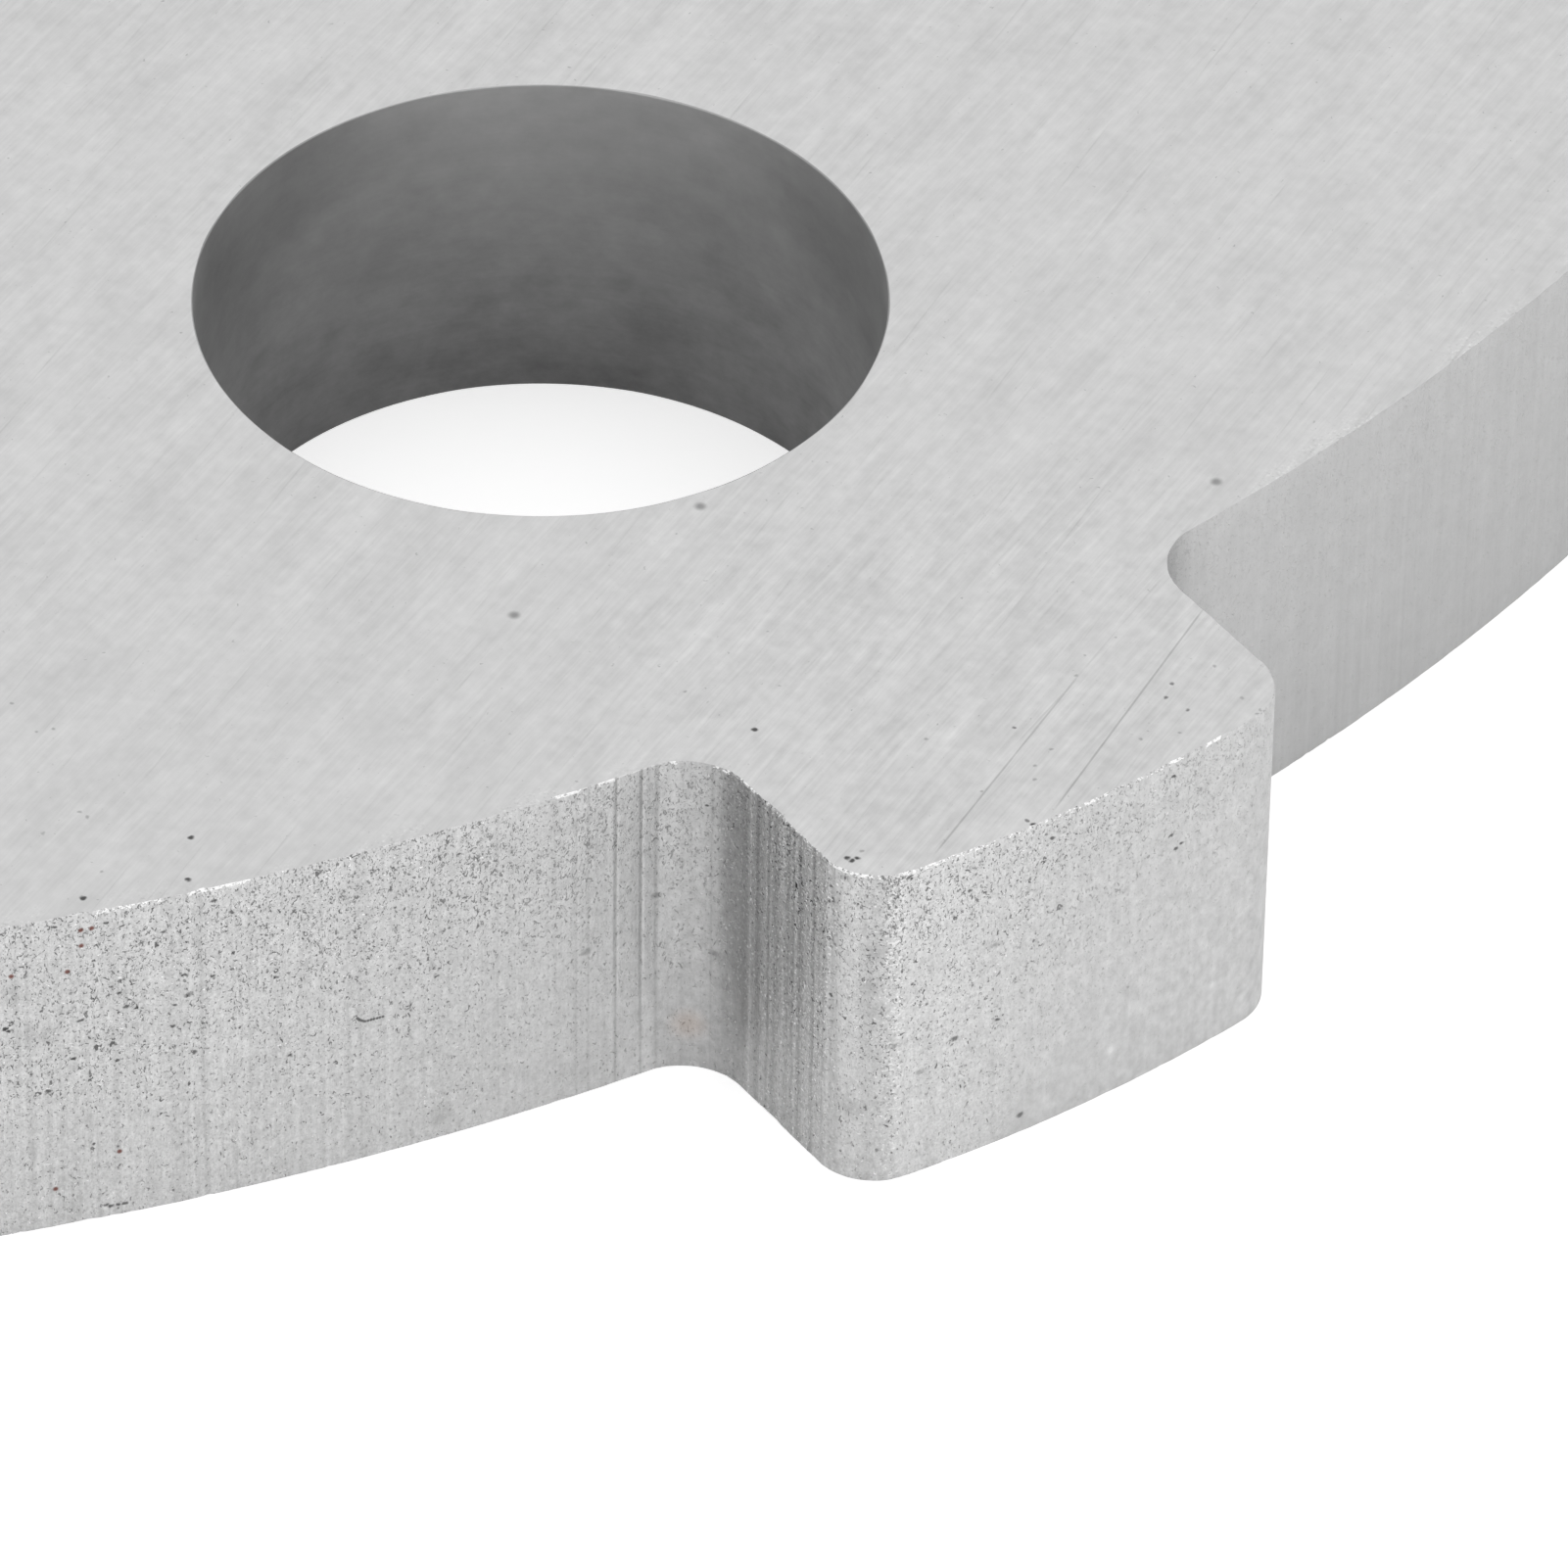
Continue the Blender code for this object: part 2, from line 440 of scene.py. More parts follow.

# %% [markdown]
# Tool marks, burrs and worn edges
#
# The tool that sheared the rim was chipped, so it drew upright lines down the wall. The
# strong lines are placed by their column in the picture, and the weak ones are random. The
# burrs that it left standing on the upper edge are placed by their first and last column,
# and the shader paints highlights on them. The relief of the wall is the sum of fine teeth,
# a broad wave and the grooves, and it is about half as deep at both edges. The radius of the
# edge varies too, and grows where the edge is nicked or broken away.

# %% Score lines down the rim
# As (column, width, strength), where a minus is a bright ridge
SCORE_LINES = (
    (204, 0.030 * MM, 0.30), (508, 0.030 * MM, 0.25), (535, 0.030 * MM, 0.20),
    (568, 0.025 * MM, 0.12), (589, 0.035 * MM, 0.36), (601, 0.035 * MM, 0.32),
    (612, 0.050 * MM, 0.12), (630, 0.045 * MM, 1.10), (638, 0.030 * MM, 0.12),
    (649, 0.040 * MM, -0.20), (655, 0.045 * MM, 1.10), (671, 0.050 * MM, 0.60),
    (711, 0.040 * MM, 0.12), (727, 0.045 * MM, 0.42), (767, 0.050 * MM, -0.42),
    (774, 0.070 * MM, 0.55), (779, 0.045 * MM, -0.42), (785, 0.060 * MM, 0.95),
    (800, 0.060 * MM, -0.42), (807, 0.090 * MM, 0.36), (814, 0.045 * MM, -0.42),
    (818, 0.045 * MM, 0.50), (823, 0.045 * MM, -0.65), (828, 0.040 * MM, -0.24),
    (832, 0.050 * MM, 0.60), (843, 0.040 * MM, -0.20),
)
score = np.zeros(len(rim_points))
for column, width, strength in SCORE_LINES:
    away = np.abs(from_root - at_column(column)) / (width / 2)
    score += strength * between(away, -1, 0.75, 0.5)
print(len(SCORE_LINES), "score lines, the strongest", round(score.max(), 2))

# %% Burrs on the upper edge, bright with painted highlights
# As (first column, last column, how nearly whole)
BURRS_AND_HIGHLIGHTS = (
    (100, 167, 0.4), (196, 252, 0.85), (566, 592, 1.0), (612, 628, 1.0), (684, 692, 0.8),
    (729, 745, 0.5), (754, 772, 0.8), (790, 850, 0.2), (852, 900, 0.6), (921, 966, 0.5),
    (966, 1014, 0.35), (1030, 1057, 0.25), (1062, 1100, 0.12), (1103, 1130, 0.4),
    (1140, 1190, 0.10), (1197, 1207, 0.9), (1234, 1247, 0.9),
)
BURR_FADE = 0.06 * MM

burrs_and_highlights = np.zeros(len(rim_points))
for first, last, strength in BURRS_AND_HIGHLIGHTS:
    stretch = between(from_root, at_column(first), at_column(last), BURR_FADE)
    burrs_and_highlights = np.maximum(burrs_and_highlights, strength * stretch)
print("burrs on", round(100 * np.mean(burrs_and_highlights[NEAR_SIDE] > 0)), "percent of the near edge's points")

# %% Relief of the rim
TOOTH_DEPTH = 0.0018 * MM
SIDE_TOOTH_DEPTH = 0.0045 * MM
GROOVE_DEPTH = 0.006 * MM
FINE_PITCH, MIDDLE_PITCH, BROAD_PITCH = 0.055 * MM, 0.13 * MM, 0.42 * MM
FILLET_END, SIDE_END = at_column(SIDE_COLUMNS[0]), at_column(SIDE_COLUMNS[1])

on_side = between(from_root, FILLET_END, SIDE_END, 0.12 * MM)
fine = uneven(rim_along, rim_length, FINE_PITCH, 3) * 0.5
fine += uneven(rim_along, rim_length, MIDDLE_PITCH, 4) * 0.5
broad = uneven(rim_along, rim_length, BROAD_PITCH, 5)
teeth = fine * (TOOTH_DEPTH + (SIDE_TOOTH_DEPTH - TOOTH_DEPTH) * on_side)
relief = teeth + TOOTH_DEPTH * broad - GROOVE_DEPTH * score

# About half at both edges, it soon comes to its full depth between them
fade = np.sin(math.pi * (0.04 + 0.92 * rim_profile[2])) ** 0.35
rim_relief = relief[:, None] * fade[None, :]
rim_relief -= max(rim_relief.max(), 0)  # the highest tooth stays on the plate's true outline
print("deepest mark:", round(-rim_relief.min() / MM, 4), "mm")

# %% The worn edge and the rim's wall
EDGE_RADIUS = 0.011 * MM
EDGE_SPREAD = 0.5
EDGE_PITCH, NICK_PITCH = 0.16 * MM, 0.12 * MM
NICK_RADIUS = 0.030 * MM
NICKED_BURRS = 0.8  # how far every nick shows where there are burrs
CHIPPED = (48, 112)  # first and last column where the edge is broken away
CHIP_RADIUS = 0.055 * MM

worn = uneven(rim_along, rim_length, EDGE_PITCH, 6)
nicks = np.clip(uneven(rim_along, rim_length, NICK_PITCH, 7) - 0.5, 0, 1) * 2
nicked = nicks * np.maximum(NICKED_BURRS * (burrs_and_highlights > 0), nicks**3)
chips = between(from_root, at_column(CHIPPED[0]), at_column(CHIPPED[1]), 0.1 * MM)
rim_edge = EDGE_RADIUS * (1 + EDGE_SPREAD * worn) + NICK_RADIUS * nicked
rim_edge += CHIP_RADIUS * chips * (0.5 + 0.5 * worn)
rim_grid = wall_grid(rim_points, rim_normals, rim_edge, rim_profile, rim_relief)
print("rim grid", rim_grid.shape)
print("edge radius", round(rim_edge.min() / MM, 3), "to", round(rim_edge.max() / MM, 3), "mm")


# %% Where the holes are
def ring_centres(radius, count, turned):
    """Centres evenly round a ring, the first one turned from the lug by a share of the spacing."""
    angle = LUG_DIRECTION + 2 * math.pi * (np.arange(count) + turned) / count
    return radius * np.stack([np.cos(angle), np.sin(angle)], axis=1)


centres = [(np.zeros(2), BORE_RADIUS)]
for ring, count, turned in ((OUTER_RING, 12, 0.0), (INNER_RING, 6, 0.5)):
    centres += [(centre, HOLE_RADIUS) for centre in ring_centres(ring, count, turned)]
print("one bore and", len(centres) - 1, "holes")

# %% Walls of the bore and the holes
HOLE_COLUMNS = 224
HOLE_EDGE = 0.016 * MM
HOLE_EDGE_SPREAD = 0.4
HOLE_EDGE_PITCH = 0.5 * MM
FIRST_HOLE_SEED = 20


def hole_grid(centre, radius, seed):
    """A hole's wall: a circle walked clockwise, so that its outward side faces the axis."""
    angle = np.linspace(0, -2 * math.pi, HOLE_COLUMNS, endpoint=False)
    direction = np.stack([np.cos(angle), np.sin(angle)], axis=1)
    worn_by = uneven(-angle * radius, 2 * math.pi * radius, HOLE_EDGE_PITCH, seed)
    edge = HOLE_EDGE * (1 + HOLE_EDGE_SPREAD * worn_by)
    smooth = np.zeros((HOLE_COLUMNS, len(hole_profile[0])))
    return wall_grid(centre + radius * direction, -direction, edge, hole_profile, smooth)


hole_grids = [
    hole_grid(centre, radius, FIRST_HOLE_SEED + number)
    for number, (centre, radius) in enumerate(centres)
]
print(len(hole_grids), "bored walls of", hole_grids[0].shape[0] * hole_grids[0].shape[1], "points")

# %% [markdown]
# One closed mesh
#
# The flat faces fill what is left between the loops. A constrained Delaunay triangulation
# does this: it keeps the loops as edges and drops what lies outside the outer one. A hole
# is convex, so a triangle lies in it when all three of its corners are on that hole's loop,
# and those triangles are dropped too. Rim, holes and faces share their points, so the mesh
# is closed. Only the walls are shaded smooth.


# %% Quads of a wall
def wall_quads(columns, rows, first):
    """Corner numbers of a closed strip of quads.

    The grid's points are numbered column by column, from `first`. A quad joins a point, the
    one below it, and the same two of the next column.
    """
    column = np.arange(columns)[:, None]
    row = np.arange(rows - 1)[None, :]
    here = first + column * rows + row
    beside = first + (column + 1) % columns * rows + row
    return np.stack([here, here + 1, beside + 1, beside], axis=-1).reshape(-1, 4)


grids = [rim_grid] + hole_grids
firsts = np.cumsum([0] + [grid.shape[0] * grid.shape[1] for grid in grids])
vertices = np.concatenate([grid.reshape(-1, 3) for grid in grids])
quads = [wall_quads(*grid.shape[:2], first) for grid, first in zip(grids, firsts)]
print(len(vertices), "points and", sum(len(wall) for wall in quads), "quads on the walls")

# %% Triangles of the flat faces
INSIDE = 1  # the triangulation's way of keeping only what the edges enclose
FILL_TOLERANCE = 1e-7


def fill_between(loops):
    """Triangles between closed loops of flat points, with the inner loops left open.

    Returned as numbers into all the loops' points in order, counter-clockwise from above.
    """
    flat = np.concatenate(loops)
    starts = np.cumsum([0] + [len(loop) for loop in loops])
    edges = []
    for start, loop in zip(starts, loops):
        here = np.arange(len(loop))
        edges.append(np.stack([start + here, start + (here + 1) % len(loop)], axis=1))
    in_mm = [Vector(point) for point in flat / MM]
    made = delaunay_2d_cdt(in_mm, np.concatenate(edges).tolist(), [], INSIDE, FILL_TOLERANCE)
    assert len(made[0]) == len(flat), "the fill moved or added points"
    triangles = np.array(made[2])
    loop_of = np.repeat(np.arange(len(loops)), [len(loop) for loop in loops])[triangles]
    in_hole = (loop_of[:, 0] > 0) & (np.ptp(loop_of, axis=1) == 0)
    triangles = triangles[~in_hole]
    a, b, c = (flat[triangles[:, k]] for k in range(3))
    turn = (b - a)[:, 0] * (c - a)[:, 1] - (b - a)[:, 1] * (c - a)[:, 0]
    triangles[turn < 0] = triangles[turn < 0][:, ::-1]
    return triangles


top_rows = [first + np.arange(grid.shape[0]) * grid.shape[1] for grid, first in zip(grids, firsts)]
low_rows = [row + grid.shape[1] - 1 for row, grid in zip(top_rows, grids)]
top_fill = np.concatenate(top_rows)[fill_between([vertices[row, :2] for row in top_rows])]
low_fill = np.concatenate(low_rows)[fill_between([vertices[row, :2] for row in low_rows])]
print(len(top_fill), "triangles above,", len(low_fill), "below")

# %% The plate's mesh
FACE_SLOT, RIM_SLOT, HOLE_SLOT = 0, 1, 2


def joined_mesh(name, points, groups):
    """A mesh from groups of equal-sided faces, each with its material slot and its shading."""
    mesh = bpy.data.meshes.new(name)
    corners = np.concatenate([faces.reshape(-1) for faces, _, _ in groups])
    sides = np.concatenate([np.full(len(faces), faces.shape[1]) for faces, _, _ in groups])
    slots = np.concatenate([np.full(len(faces), slot) for faces, slot, _ in groups])
    smooth = np.concatenate([np.full(len(faces), shaded) for faces, _, shaded in groups])
    mesh.vertices.add(len(points))
    mesh.vertices.foreach_set("co", points.reshape(-1))
    mesh.loops.add(len(corners))
    mesh.loops.foreach_set("vertex_index", corners)
    mesh.polygons.add(len(sides))
    mesh.polygons.foreach_set("loop_start", np.cumsum(sides) - sides)
    mesh.polygons.foreach_set("loop_total", sides)
    mesh.polygons.foreach_set("material_index", slots)
    mesh.polygons.foreach_set("use_smooth", smooth)
    mesh.update(calc_edges=True)
    return mesh


faces = [(top_fill, FACE_SLOT, False), (low_fill[:, ::-1], FACE_SLOT, False)]
walls = [(quads[0], RIM_SLOT, True)] + [(hole, HOLE_SLOT, True) for hole in quads[1:]]
plate_mesh = joined_mesh("ground_plate", vertices, faces + walls)
triangle_count = sum(len(polygon.vertices) - 2 for polygon in plate_mesh.polygons)
print(len(vertices), "points,", triangle_count, "triangles, mended:", plate_mesh.validate())

# %% [markdown]
# How the finish changes along the rim
#
# The rim isn't alike all round. It is coarsely pitted at the left, smoother beside the root,
# ridged on the lug's side and calm at the far right. Its wall also has painted shade: darker
# beside the lug's roots, on the lug's side and along the rim right of the lug, with painted
# light in a few bands. A shader can't know how far along a path it is, so the mesh carries
# that: numbers at its points, which the shader reads by name. They come from two tables, one
# for the walls near the camera and one for the rim beyond the lug, and are blended round the
# back, where the picture shows nothing.

# %% The finish by the picture's columns
# As (column of the upper edge, how pitted, how streaked, how much painted shade darkens the
# wall below it), where a minus in the last is painted light
NEAR_FINISH_AND_SHADE = (
    (20, 1.18, 0.85, 0.00), (150, 1.18, 0.85, -0.02), (260, 1.14, 0.80, -0.03),
    (300, 1.12, 0.75, 0.00), (430, 1.04, 0.60, -0.02), (510, 0.88, 0.50, -0.02),
    (550, 0.72, 0.40, -0.03), (610, 0.66, 0.35, -0.02), (634, 0.66, 0.35, -0.07),
    (664, 0.64, 0.35, -0.11), (674, 0.62, 0.35, 0.01), (690, 0.60, 0.35, 0.08),
    (702, 0.58, 0.35, 0.18), (720, 0.56, 0.35, 0.20), (732, 0.58, 0.35, 0.25),
    (738, 0.60, 0.35, 0.36), (744, 0.75, 0.35, 0.44), (750, 0.80, 0.35, 0.39),
    (763, 0.90, 0.35, 0.42), (767, 1.20, 0.60, 0.24), (790, 1.65, 0.90, 0.25),
    (844, 1.65, 0.80, 0.24), (852, 1.10, 0.60, 0.13), (857, 1.10, 0.45, 0.11),
    (862, 1.05, 0.40, 0.00), (876, 1.10, 0.35, 0.01), (886, 1.10, 0.30, 0.09),
    (897, 1.10, 0.30, 0.09), (908, 1.10, 0.30, 0.08), (925, 1.15, 0.30, -0.08),
    (990, 1.12, 0.30, -0.08), (1015, 1.05, 0.30, -0.04), (1060, 0.84, 0.30, -0.03),
    (1120, 0.60, 0.25, 0.00), (1200, 0.42, 0.20, 0.01), (1280, 0.36, 0.20, 0.02),
)
FAR_FINISH_AND_SHADE = (
    (1193, 0.20, 0.25, 0.33), (1196, 0.20, 0.25, 0.36), (1201, 0.20, 0.25, 0.34),
    (1208, 0.20, 0.25, 0.26), (1218, 0.20, 0.25, 0.17), (1249, 0.18, 0.25, 0.11),
    (1330, 0.16, 0.25, 0.15), (1590, 0.16, 0.25, 0.16),
)
PITTED, STREAKED, PAINTED_SHADE_COLUMN = 1, 2, 3
finish_places = [at_column(row[0]) for row in NEAR_FINISH_AND_SHADE]
finish_places += [at_column(row[0], FAR_SIDE) for row in FAR_FINISH_AND_SHADE]


def finish_and_shade_along(number):
    """One column of the two tables at every point of the rim, blended round the unseen back."""
    values = [row[number] for row in NEAR_FINISH_AND_SHADE + FAR_FINISH_AND_SHADE]
    return np.interp(from_root, finish_places, values, period=rim_length)


print("the finish is given at", len(finish_places), "places along the rim")

# %% Lines and painted shade down the wall
LINE_PITCH = 0.05 * MM
LINE_STRENGTH = 0.45
LINE_FADE = 0.45  # how much weaker a line is at the foot of the wall
ROOT_COLUMN = 700  # from here to the end of the lug's side, painted light from the floor thins the painted shade at the wall's foot
LIT_FROM = 0.45  # share of the way down where that painted light begins
FOOT_PAINTED_LIGHT = 0.3

depth_share = rim_profile[2][None, :]
side_lines = uneven(rim_along, rim_length, LINE_PITCH, 8) * 1.4 + broad * 0.3
line_strength = score + np.clip(side_lines, -1, 1) * on_side * LINE_STRENGTH
scored = line_strength[:, None] * (1 - LINE_FADE * depth_share)
low_share = np.clip((depth_share - LIT_FROM) / (1 - LIT_FROM), 0, 1)
by_root = between(from_root, at_column(ROOT_COLUMN), SIDE_END, 0.5 * MM)
# Painted shade: a darker tone where the wall lies in shade, and painted light where it is below 0
painted_shade = finish_and_shade_along(PAINTED_SHADE_COLUMN)[:, None] * (1 - FOOT_PAINTED_LIGHT * by_root[:, None] * low_share)
print("dullest", round(painted_shade.max(), 2), "and brightest", round(painted_shade.min(), 2))

# %% Pits, mottle and the corner's line, which has painted highlights
CORNER_LINE = at_column(914)  # where the lug's rounded corner meets its face: torn pits and painted highlights
LUG_END_COLUMN = 1040  # from here on, the lug's face is more pitted near its upper edge
EVEN_DEPTH = 0.45  # share of the way down where it is as pitted as the table says

line_start, line_end = CORNER_LINE - 0.10 * MM, CORNER_LINE + 0.13 * MM
corner_line_pits_and_highlight = between(from_root, line_start, line_end, 0.10 * MM)
by_lug_end = between(from_root, at_column(LUG_END_COLUMN), lug_end, 0.4 * MM)
upper_pitted = 1 + 1.3 * by_lug_end[:, None] * (EVEN_DEPTH - depth_share)
coarse = finish_and_shade_along(PITTED)[:, None] * upper_pitted
in_view = between(from_root, -VIEW_SPAN, lug_end, 0.3 * MM)
mottled = np.maximum(0.34 * in_view[:, None] + 0.3 * painted_shade - 0.2 * coarse, 0)
print("mottled by up to", round(mottled.max(), 2), "and pitted by up to", round(coarse.max(), 2))


# %% Give the numbers to the mesh
def give_attribute(mesh, name, rim_values):
    """One number at each point: the given grid on the rim's points, and 0 on all others."""
    values = np.zeros(len(mesh.vertices), dtype=np.float32)
    values[: rim_values.size] = rim_values.reshape(-1)
    mesh.attributes.new(name, "FLOAT", "POINT").data.foreach_set("value", values)


all_down = np.ones_like(depth_share)
finish_and_light_numbers = {
    "scored": scored,
    "painted_shade": painted_shade,
    "coarse": coarse,
    "mottled": mottled,
    "streaky": finish_and_shade_along(STREAKED)[:, None] * all_down,
    "burr_highlight_strength": burrs_and_highlights[:, None] * all_down,
    "corner_line_pits_and_highlight": corner_line_pits_and_highlight[:, None] * all_down,
}
for name, values in finish_and_light_numbers.items():
    give_attribute(plate_mesh, name, values)
    print(name, "runs from", round(float(values.min()), 2), "to", round(float(values.max()), 2))

# %% Put the plate into the frame
plate = bpy.data.objects.new("ground_plate", plate_mesh)
bpy.context.scene.collection.objects.link(plate)
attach(plate, "root")
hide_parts("grinder_plate")
print(plate.name, "stands for grinder_plate and rides on root")

# %% [markdown]
# Shader maths as Python
#
# A node tree is easier to read as an expression. A small class wraps one socket: adding,
# multiplying or comparing two of them lays down a Math node and gives back its result. All
# other nodes come from one method that takes the node's type, its settings and its links.


# %% A number that varies over a surface
class Value:
    """One number that varies over a surface: the output socket of a node in a tree."""

    def __init__(self, tree, socket):
        """Keeps the socket, and the tree in which further nodes are laid."""
        self.tree = tree
        self.socket = socket

    def math(self, operation, *others):
        """The result of a Math node on this number and the others."""
        node = self.tree.add("ShaderNodeMath", {"operation": operation})
        for number, value in enumerate((self, *others)):
            self.tree.feed(node.inputs[number], value)
        return Value(self.tree, node.outputs[0])

    def __add__(self, other):
        return self.math("ADD", other)

    def __sub__(self, other):
        return self.math("SUBTRACT", other)

    def __mul__(self, other):
        return self.math("MULTIPLY", other)

    def __rsub__(self, other):
        return (self * -1.0).math("ADD", other)

    __radd__ = __add__
    __rmul__ = __mul__

    def most(self, other):
        """The larger of two numbers."""
        return self.math("MAXIMUM", other)

    def sway(self, amount):
        """How far a noise is from its middle, 0.5, times an amount."""
        return (self - 0.5) * amount

    def step(self, low, high):
        """0 below `low`, 1 above `high`, and a smooth rise between them."""
        settings = {"interpolation_type": "SMOOTHSTEP"}
        node = self.tree.add("ShaderNodeMapRange", settings)
        self.tree.feed(node.inputs["Value"], self)
        node.inputs["From Min"].default_value = low
        node.inputs["From Max"].default_value = high
        return Value(self.tree, node.outputs["Result"])


print("a Value is:", Value.__doc__)

# %% A material's node tree
PER_MM = 1000.0
WHITE = (1.0, 1.0, 1.0, 1.0)
MIX_COLOURS, MIXED_COLOUR = (6, 7), 2  # the colour sockets of a Mix node, in and out


class Tree:
    """A material's node tree, with the Principled shader that ends it."""

    def __init__(self, name, metallic=1.0):
        """A new material of this name. `place` is the Object coordinates."""
        self.material = bpy.data.materials.new(name)
        self.material.use_nodes = True
        self.nodes = self.material.node_tree.nodes
        self.links = self.material.node_tree.links
        self.shader = self.nodes["Principled BSDF"]
        self.shader.inputs["Metallic"].default_value = metallic
        self.place = self.add("ShaderNodeTexCoord").outputs["Object"]

    def add(self, kind, settings=None, **inputs):
        """A node of this type. Settings go on first, then the values or links of its sockets."""
        node = self.nodes.new(kind)
        for name, value in (settings or {}).items():
            setattr(node, name, value)
        for name, value in inputs.items():
            self.feed(node.inputs[name.replace("_", " ")], value)
        return node

    def feed(self, socket, value):
        """Links a Value or a socket to this socket, or sets it to a plain number."""
        if isinstance(value, Value):
            self.links.new(value.socket, socket)
        elif isinstance(value, bpy.types.NodeSocket):
            self.links.new(value, socket)
        else:
            socket.default_value = value

    def finish(self, colour, roughness, normal):
        """Links the three sockets of the shader that vary over every steel surface here."""
        self.feed(self.shader.inputs["Base Color"], colour)
        self.feed(self.shader.inputs["Roughness"], roughness)
        self.feed(self.shader.inputs["Normal"], normal)
        return self.material

    def stretched(self, scale, turn=0.0):
        """Object coordinates turned about Z, then scaled along each axis, in waves per mm."""
        turned = self.add("ShaderNodeMapping", {"vector_type": "POINT"}, Vector=self.place,
                          Rotation=(0, 0, -turn))
        return self.add("ShaderNodeMapping", {"vector_type": "POINT"},
                        Vector=turned.outputs["Vector"],
                        Scale=[waves * PER_MM for waves in scale]).outputs["Vector"]

    def attribute(self, name):
        """A number that the mesh carries at its points."""
        return Value(self, self.add("ShaderNodeAttribute", {"attribute_name": name}).outputs["Fac"])

    def height(self):
        """How high a point is: its Z."""
        return Value(self, self.add("ShaderNodeSeparateXYZ", Vector=self.place).outputs["Z"])

    def noise(self, vector, detail=2.0, roughness=0.5, distortion=0.0):
        """Smooth random values about 0.5, one wave for each unit of the vector."""
        node = self.add("ShaderNodeTexNoise", {"noise_dimensions": "3D"}, Vector=vector, Scale=1.0,
                        Detail=detail, Roughness=roughness, Distortion=distortion)
        return Value(self, node.outputs["Fac"])

    def blend(self, share, first, second):
        """The first colour where the share is 0, the second where it is 1."""
        node = self.add("ShaderNodeMix", {"data_type": "RGBA"})
        self.feed(node.inputs["Factor"], share)
        for number, colour in zip(MIX_COLOURS, (first, second)):
            self.feed(node.inputs[number], colour)
        return node.outputs[MIXED_COLOUR]

    def grey(self, value):
        """A colour whose three parts are one Value."""
        parts = {"Red": value, "Green": value, "Blue": value}
        return self.add("ShaderNodeCombineColor", {"mode": "RGB"}, **parts).outputs["Color"]

    def vector(self, operation, first, second=None, result="Vector"):
        """The result of Vector Math on one or two vectors."""
        node = self.add("ShaderNodeVectorMath", {"operation": operation})
        self.feed(node.inputs[0], first)
        if second is not None:
            self.feed(node.inputs[1], second)
        return node.outputs[result]

    def shaken(self, waves, amount, squeeze=(1, 1, 1)):
        """Object coordinates shaken by noise with this many waves per mm, then squeezed."""
        noise = self.add("ShaderNodeTexNoise", Vector=self.stretched((waves, waves, waves)),
                         Scale=1.0, Detail=1.0)
        centred = self.vector("SUBTRACT", noise.outputs["Color"], (0.5, 0.5, 0.5))
        offset = self.vector("MULTIPLY", centred, (amount, amount, amount))
        return self.vector("MULTIPLY", self.vector("ADD", self.place, offset), squeeze)

    def spot(self, centre, radius, softness=0.35, place=None):
        """1 inside a small round mark about this point, 0 outside it."""
        away = self.vector("DISTANCE", place or self.place, tuple(centre), "Value")
        return Value(self, away).step(radius * (1 + softness), radius * (1 - softness))

    def bump(self, height, depth):
        """A normal tilted by a height from 0 to 1, which stands for `depth` metres."""
        node = self.add("ShaderNodeBump", Height=height, Distance=depth, Strength=1.0)
        return node.outputs["Normal"]


print("a Tree is:", Tree.__doc__)

# %% [markdown]
# The ground face
#
# A surface grinder drags thousands of tiny grits in one direction. Each leaves a thin line
# that is a little lighter or darker than its neighbours, so the grain is noise that is
# drawn out very long one way: a few hundredths of a millimetre wide and nearly a millimetre
# long. Wider bands and a soft cloudiness lie under it. A few lines are deeper scratches, and
# grit has left some tiny black pits. The marks that can be made out one by one in the
# photograph are put where they lie.

# %% Where the face's marks lie, in pixels of the picture
# As (one end, other end, strength)
SCRATCHES = (
    ((1071, 834), (1236, 612), 1.0), ((948, 880), (1106, 684), 0.9),
    ((1106, 684), (1188, 588), 0.35), ((1040, 757), (1100, 693), 0.4),
)
FACE_PITS = ((1197, 698), (1190, 712), (1036, 743), (1213, 725), (1049, 838))
BLACK_FACE_PITS = (
    (195, 855), (865, 876), (870, 879), (875, 876), (85, 917), (192, 898), (770, 745),
    (1055, 842),
)
FAINT_PITS = (
    (104, 890), (1099, 690), (1268, 713), (1165, 754), (1057, 782), (1002, 808), (1240, 680),
    (945, 755), (1057, 796), (12, 718), (38, 747), (55, 744), (82, 829), (89, 834),
    (44, 851), (1205, 748), (1074, 765), (880, 869), (728, 860), (700, 706), (1284, 729),
    (1287, 725),
)
FAR_PITS = ((1242, 492), (525, 628), (715, 517))
pit_count = len(FACE_PITS + BLACK_FACE_PITS + FAINT_PITS + FAR_PITS)
print(len(SCRATCHES), "scratches and", pit_count, "pits")

# %% Small marks and long scratches
SCRATCH_HALF_WIDTH = 0.012 * MM


def marked(tree, points, radius, softness, place=None, squeeze=(1, 1, 1)):
    """1 in a small mark about each of these points. It is round, unless the place is shaken."""
    every = None
    for point in points:
        one = tree.spot(np.multiply(point, squeeze), radius, softness, place)
        every = one if every is None else every.most(one)
    return every


